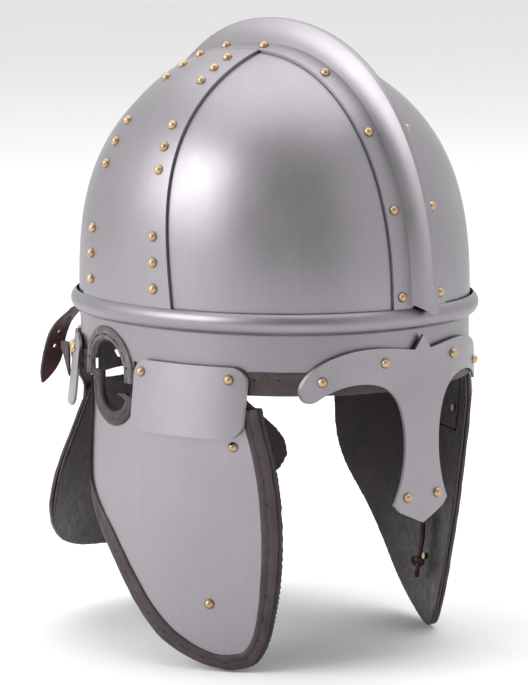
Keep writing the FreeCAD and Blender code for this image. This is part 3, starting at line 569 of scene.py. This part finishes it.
def guard_path():
    """Edge of a cheek guard, from its front top round the chin and the ear notch."""
    loop = smooth_loop(LEATHER_OUTLINE, 700)
    start = next(i for i in range(len(loop)) if loop[i][1] < GUARD_TOP and loop[i][0] < -60)
    loop = np.roll(loop, -start, 0)
    stop = next(i for i in range(200, len(loop)) if loop[i][0] > 30 and loop[i][1] > HORN_TOP)
    main = list(loop[:stop])
    notch = [(NOTCH[0] + NOTCH_RADIUS, HORN_TOP), (NOTCH[0] + NOTCH_RADIUS, NOTCH[1])]
    for step in range(1, 30):
        turn = math.pi * step / 30
        notch.append((NOTCH[0] + NOTCH_RADIUS * math.cos(turn),
                      NOTCH[1] - NOTCH_RADIUS * math.sin(turn)))
    notch.append((NOTCH[0] - NOTCH_RADIUS, NOTCH[1]))
    notch.append((NOTCH[0] - NOTCH_RADIUS, GUARD_TOP))
    return even(main, 330), even([tuple(main[-1]), notch[0]], 8), even(notch, 46)


def guard_stations():
    """(edge point, direction inward, leaf width) along the cheek guard's edge."""
    main, horn, notch = guard_path()
    steel_line = smooth_loop(STEEL_OUTLINE, 1200)
    line = np.concatenate([main, horn[1:], notch[1:]])
    stations = []
    for i, p in enumerate(line):
        before = line[max(0, i - 2)]
        after = line[min(len(line) - 1, i + 2)]
        along = (after - before) / np.linalg.norm(after - before)
        inward = np.array([-along[1], along[0]])
        if i < len(main):
            offsets = steel_line - p
            near = offsets[np.argmin((offsets ** 2).sum(1))]
            width = float(near @ inward)
        elif i < len(main) + len(horn) - 1:
            width = 6.0
        else:
            width = EAR_TRIM
        covered = COVERED[0] < p[0] < COVERED[1] and p[1] > COVERED[2]
        stations.append((p, inward, min(9.0, max(0.0, width)), covered))
    return stations


def guard_edging():
    rows = []
    thread_line = []
    for p, inward, width, covered in guard_stations():
        def at(s, lift):
            q = p + inward * s
            return panel_point(guard_surface, side_place, q[0], q[1], lift)
        rows.append(leaf_section(at, 0.0 if covered else width, RIM, -SHEET - GAP, covered))
        if width > SEWN_WIDTH and not covered:
            s = width * 0.5
            top = at(s, GAP + TRIM * GROOVE)
            thread_line.append((top, (at(s, 3.0) - at(s, 0.0)).normalized()))
    return rows, thread_line


rows, thread_line = guard_edging()
right = skin("cheek_edging_leather_right", rows, False)
wrinkle(right, 7.0, 0.22)
left = mirror_copy(right, "cheek_edging_leather_left")
for side, piece in (("right", right), ("left", left)):
    finish_piece(piece, edging, "edging_leather", f"cheek_guard_{side}", f"cheek_edging_{side}")
sew("cheek_edging", thread_line, "cheek_guard_right", STITCH, 0.36, True)

# brow edging: folded over the band's lower edge
FACE = -BAND_INSET + GAP
INNER = -BAND_INSET - SHEET - GAP


def brow_section(angle, shown):
    top = TRIM_TOP if shown else -40.6
    leaf = [(FACE, top), (FACE + 0.6, top + 0.1), (FACE + TRIM, top - 0.9),
            (FACE + TRIM * 1.1, top - 2.2), (FACE + TRIM * 0.75, top - 3.4),
            (FACE + TRIM, top - 4.6), (FACE + TRIM, top - 8.0)]
    if not shown:
        leaf = [(FACE, top), (FACE + 0.05, top), (FACE + 0.1, top - 0.1), (FACE + 0.15, top - 0.2),
                (FACE + 0.2, top - 0.3), (FACE + 0.2, top - 0.4), (FACE + 0.2, top - 0.5)]
    rest = [(FACE + (TRIM if shown else 0.3), -41.6), (FACE + (0.8 if shown else 0.1), -42.6),
            (-2.75, TRIM_BOTTOM), (INNER - 0.8, -42.6), (INNER - TRIM, -41.6),
            (INNER - TRIM, -36.0), (INNER - TRIM, TRIM_TOP - 0.9), (INNER - 0.6, TRIM_TOP),
            (INNER, TRIM_TOP), (INNER, BAND_BOTTOM - GAP), (FACE, BAND_BOTTOM - GAP)]
    return [oval_point(angle, grow, height) for grow, height in leaf + rest]


def brow_strip(name, start, end):
    """One length of edging between two places along the right side, round the front or the rear."""
    rows = []
    thread_line = []
    for step in range(241):
        angle = math.radians(start + (end - start) * step / 240)
        y = oval_point(angle, 0, 0).y
        shown = not (-64.0 < y < 2.5 or 59.0 < y < 94.0)
        rows.append(brow_section(angle, shown))
        if shown:
            spot = oval_point(angle, FACE + TRIM * 0.85, TRIM_TOP - 3.6)
            out = (oval_point(angle, 5, 0) - oval_point(angle, 0, 0)).normalized()
            thread_line.append((spot, out))
    piece = skin(name, rows, False)
    wrinkle(piece, 6.0, 0.18)
    return piece, thread_line


def angle_at(y):
    """Degrees of the oval on the wearer's left side at a place along it."""
    s = math.copysign((abs(y) / HALF_LENGTH) ** (PLAN_POWER / 2), y)
    return math.degrees(math.asin(s))


EAR_CLEAR = EAR_RADIUS + EAR_TRIM + 0.3
front_end = angle_at(EAR_CENTRE[0] - EAR_CLEAR)
rear_end = angle_at(EAR_CENTRE[0] + EAR_CLEAR)
front_strip, front_line = brow_strip("brow_edging_leather_front", -180 - front_end, front_end)
rear_strip, rear_line = brow_strip("brow_edging_leather_rear", rear_end, 180 - rear_end)
finish_piece(front_strip, edging, "edging_leather", "helmet", "brow_edging")
finish_piece(rear_strip, edging, "edging_leather", "helmet", "brow_edging")
for name, line in (("front", front_line), ("rear", rear_line)):
    sew(f"brow_edging_{name}", line, "helmet", STITCH, 0.36)


def ear_binding():
    """Leather folded over the ear arch's edge, two ridges and a sewn groove between them."""
    cy, cz = EAR_CENTRE
    path = [((cy + EAR_RADIUS, TRIM_BOTTOM + 0.2), (1, 0)), ((cy + EAR_RADIUS, cz), (1, 0))]
    for step in range(1, 60):
        turn = math.pi * step / 60
        direction = (math.cos(turn), math.sin(turn))
        path.append(((cy + EAR_RADIUS * direction[0], cz + EAR_RADIUS * direction[1]), direction))
    path.append(((cy - EAR_RADIUS, cz), (-1, 0)))
    path.append(((cy - EAR_RADIUS, TRIM_BOTTOM + 0.2), (-1, 0)))
    rows = []
    thread_line = []
    for (y, z), (dy, dz) in path:
        def at(s, grow):
            return Vector((-oval_x(y + dy * s, grow), y + dy * s, z + dz * s))
        points = [at(2.0, FACE)]
        for share, height in reversed(LEAF[2:]):
            points.append(at(EAR_TRIM * share, FACE + TRIM * height))
        points += [at(0.3, FACE + 0.3), at(0.0, -2.75), at(0.3, INNER - 0.3),
                   at(1.6, INNER - TRIM), at(6.6, INNER - TRIM), at(EAR_TRIM, INNER - 0.5),
                   at(EAR_TRIM, INNER), at(2.0, INNER)]
        rows.append(points)
        thread_line.append((at(EAR_TRIM * 0.42, FACE + TRIM * 0.8), Vector((-1, 0, 0))))
    return skin("ear_binding_leather_right", rows, False), thread_line


right, thread_line = ear_binding()
wrinkle(right, 4.0, 0.3)
left = mirror_copy(right, "ear_binding_leather_left")
for side, piece in (("right", right), ("left", left)):
    finish_piece(piece, worn_edging, "edging_leather", "helmet", f"ear_binding_{side}")
sew("ear_binding", thread_line, "helmet", EAR_STITCH, 0.38, True)

# neck guard edging
right_edge = [(0.0, -57.0), (-28.0, -57.0), (-47.0, -58.0), (-54.0, -66.0),
              (-64.0, -79.5), (-77.0, -93.5), (-84.5, -104.0), (-86.5, -114.0), (-82.0, -125.0),
              (-72.0, -135.0), (-57.0, -145.5), (-32.0, -154.5), (0.0, -158.0)]
NECK_OUTLINE = right_edge + [(-a, z) for a, z in reversed(right_edge[1:-1])]


def neck_edging():
    line = smooth_loop(NECK_OUTLINE, 340)
    rows = []
    outer_line = []
    for i, p in enumerate(line):
        along = line[(i + 2) % len(line)] - line[i - 2]
        along = along / np.linalg.norm(along)
        inward = np.array([-along[1], along[0]])
        covered = abs(abs(p[0]) - NECK_ACROSS) < 8.6 and p[1] > -87

        def at(s, lift):
            q = p + inward * s
            return panel_point(neck_surface, rear_place, q[0], q[1], lift)
        rows.append(leaf_section(at, 0.0 if covered else NECK_LEAF, RIM, -SHEET - GAP, covered))
        if not covered:
            middle = NECK_LEAF / 2
            outer_line.append((at(middle, GAP + TRIM * GROOVE),
                               (at(middle, 3) - at(middle, 0)).normalized()))
    return skin("neck_edging_leather", rows, True), outer_line


piece, thread_line = neck_edging()
wrinkle(piece, 7.0, 0.22)
finish_piece(piece, edging, "edging_leather", "neck_guard", "neck_edging")
sew("neck_edging", thread_line, "neck_guard", STITCH, 0.36)

# ---- linings, straps and ties made from their CAD solids ------------------------------------

for side in SIDES:
    piece = soft_copy(f"cheek_lining_{side}", f"cheek_lining_leather_{side}", 0.6, 22, 0.35, 0.25)
    finish_piece(piece, lining, "lining_leather", f"cheek_guard_{side}", f"cheek_lining_{side}")
    piece = soft_copy(f"cheek_hinge_strap_{side}", f"cheek_hinge_leather_{side}", 0.7, 14, 0.2)
    finish_piece(piece, lining, "lining_leather", None, f"cheek_hinge_strap_{side}")
    sign = -1 if side == "right" else 1
    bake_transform(piece)
    piece = soft_copy(f"neck_strap_{side}", f"neck_strap_leather_{side}", 0.45, 9, 0.22, 0.6)
    finish_piece(piece, strap, "strap_leather", None, f"neck_strap_{side}")
    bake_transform(piece)
    piece = soft_copy(f"buckle_tab_{side}", f"buckle_tab_leather_{side}", 0.4, 6, 0.12, 0.6)
    finish_piece(piece, strap, "strap_leather", "helmet", f"buckle_tab_{side}")
    piece = soft_copy(f"strap_keeper_{side}", f"strap_keeper_leather_{side}", 0.45, 6, 0.15, 0.6)
    finish_piece(piece, lining, "lining_leather", "helmet", f"strap_keeper_{side}")

piece = soft_copy("neck_lining", "neck_lining_leather", 0.9, 26, 0.4, 0.35)
finish_piece(piece, lining, "lining_leather", "neck_guard", "neck_lining")
piece = soft_copy("head_band", "head_band_leather", 0.9, 24, 0.35, 0.3)
finish_piece(piece, lining, "lining_leather", "helmet", "head_band")
piece = soft_copy("liner_tongues", "liner_tongue_leather", 0.9, 24, 0.35, 0.3)
finish_piece(piece, lining, "lining_leather", "helmet", "liner_tongues")
piece = soft_copy("liner_lace", "liner_lace_leather", 0.6, 8, 0.2, 0.7)
finish_piece(piece, strap, "strap_leather", "helmet", "liner_lace")

piece = soft_copy("closing_strap", "closing_strap_leather", 0.6, 18, 0.2, 0.4)
finish_piece(piece, lining, "lining_leather", "helmet", "closing_strap")

TIE = ((-37.0, -131.0, -7.0), (-40.0, -139.0, -7.0), (-40.0, -149.0, -7.4),
       (-38.5, -158.0, -8.0), (-36.0, -166.0, -7.0))
TIE_KNOT = 3                 # which of its points the knot lies at
THONG = 3.2                  # thickness of the thong


def thong_curve(name, points, thickness, closed):
    """Round thong whose smooth line follows the points."""
    data = bpy.data.curves.new(name, "CURVE")
    data.dimensions = "3D"
    data.bevel_depth = thickness / 2 * MM
    data.bevel_resolution = 5
    data.use_fill_caps = not closed
    spline = data.splines.new("NURBS")
    spline.points.add(len(points) - 1)
    for point, spot in zip(spline.points, points):
        point.co = (*(spot * MM), 1.0)
    spline.order_u = 3
    spline.use_endpoint_u = not closed
    spline.use_cyclic_u = closed
    spline.resolution_u = 12
    return add_object(name, data)


def knot_points(centre, size):
    """Line of an overhand knot, facing sideways."""
    points = []
    for step in range(24):
        turn = 2 * math.pi * step / 24
        points.append(centre + size * Vector((-math.sin(3 * turn),
                                              math.sin(turn) + 2 * math.sin(2 * turn),
                                              math.cos(turn) - 2 * math.cos(2 * turn))))
    return points


for side in SIDES:
    sign = 1 if side == "right" else -1
    spots = [panel_point(guard_surface, side_place, a, z, lift) for a, z, lift in TIE]
    spots = [Vector((p.x * sign, p.y, p.z)) for p in spots]
    thong = thong_curve(f"chin_tie_thong_{side}", spots, THONG, False)
    knot = thong_curve(f"chin_tie_knot_{side}", knot_points(spots[TIE_KNOT], 1.15), 2.6, True)
    finish_piece(thong, strap, "strap_leather", f"cheek_guard_{side}", f"chin_tie_{side}")
    finish_piece(knot, strap, "strap_leather", f"cheek_guard_{side}")

# ---- floor, light and world -----------------------------------------------------------------

FLOOR_LEVEL = -0.1905


def make_floor():
    mesh = bpy.data.meshes.new("floor")
    half = 12.0
    mesh.from_pydata([(-half, -half, FLOOR_LEVEL), (half, -half, FLOOR_LEVEL),
                      (half, half, FLOOR_LEVEL), (-half, half, FLOOR_LEVEL)], [], [(0, 1, 2, 3)])
    floor = add_object("floor", mesh)
    look = Look("floor")
    shade = look.mix(look.span(look.noise(1.5, 2.0), 0, 1), colour(0.93, 0.93, 0.935),
                     colour(0.95, 0.95, 0.95))
    look.join(shade, look.shader.inputs["Base Color"])
    look.set(roughness=0.9)
    floor.data.materials.append(look.material)


def area_light(name, offset, size, power):
    """A soft box placed right, up and towards the camera from the helmet's middle."""
    data = bpy.data.lights.new(name, "AREA")
    data.shape = "RECTANGLE"
    data.size, data.size_y = size
    data.energy = power
    light = bpy.data.objects.new(name, data)
    bpy.context.scene.collection.objects.link(light)
    place = view_right * offset[0] + Vector((0, 0, offset[1])) - view_aim * offset[2]
    light.location = place
    light.rotation_mode = "QUATERNION"
    light.rotation_quaternion = (-place).to_track_quat("-Z", "Y")


def make_world():
    world = bpy.data.worlds.new("world")
    bpy.context.scene.world = world
    world.use_nodes = True
    tree = world.node_tree
    tree.nodes.clear()
    out = tree.nodes.new("ShaderNodeOutputWorld")
    glow = tree.nodes.new("ShaderNodeBackground")
    place = tree.nodes.new("ShaderNodeTexCoord")
    facing = tree.nodes.new("ShaderNodeVectorMath")
    facing.operation = "DOT_PRODUCT"
    facing.inputs[1].default_value = (0.69, 0.72, 0.0)
    ramp = tree.nodes.new("ShaderNodeMapRange")
    ramp.interpolation_type = "SMOOTHSTEP"
    ramp.inputs["From Min"].default_value = -0.75
    ramp.inputs["From Max"].default_value = 0.35
    ramp.inputs["To Min"].default_value = 0.5
    ramp.inputs["To Max"].default_value = 1.3
    tree.links.new(place.outputs["Generated"], facing.inputs[0])
    tree.links.new(facing.outputs["Value"], ramp.inputs["Value"])
    tree.links.new(ramp.outputs[0], glow.inputs["Strength"])
    tree.links.new(glow.outputs[0], out.inputs[0])


make_floor()
make_world()
area_light("key", (-2.2, 1.1, 0.9), (1.8, 1.8), 46)
area_light("fill", (1.7, 0.5, 1.2), (1.6, 2.0), 5)
area_light("top", (0.1, 2.6, -0.6), (3.4, 3.4), 44)
bpy.context.scene.view_settings.view_transform = "Standard"
bpy.context.scene.view_settings.look = "None"
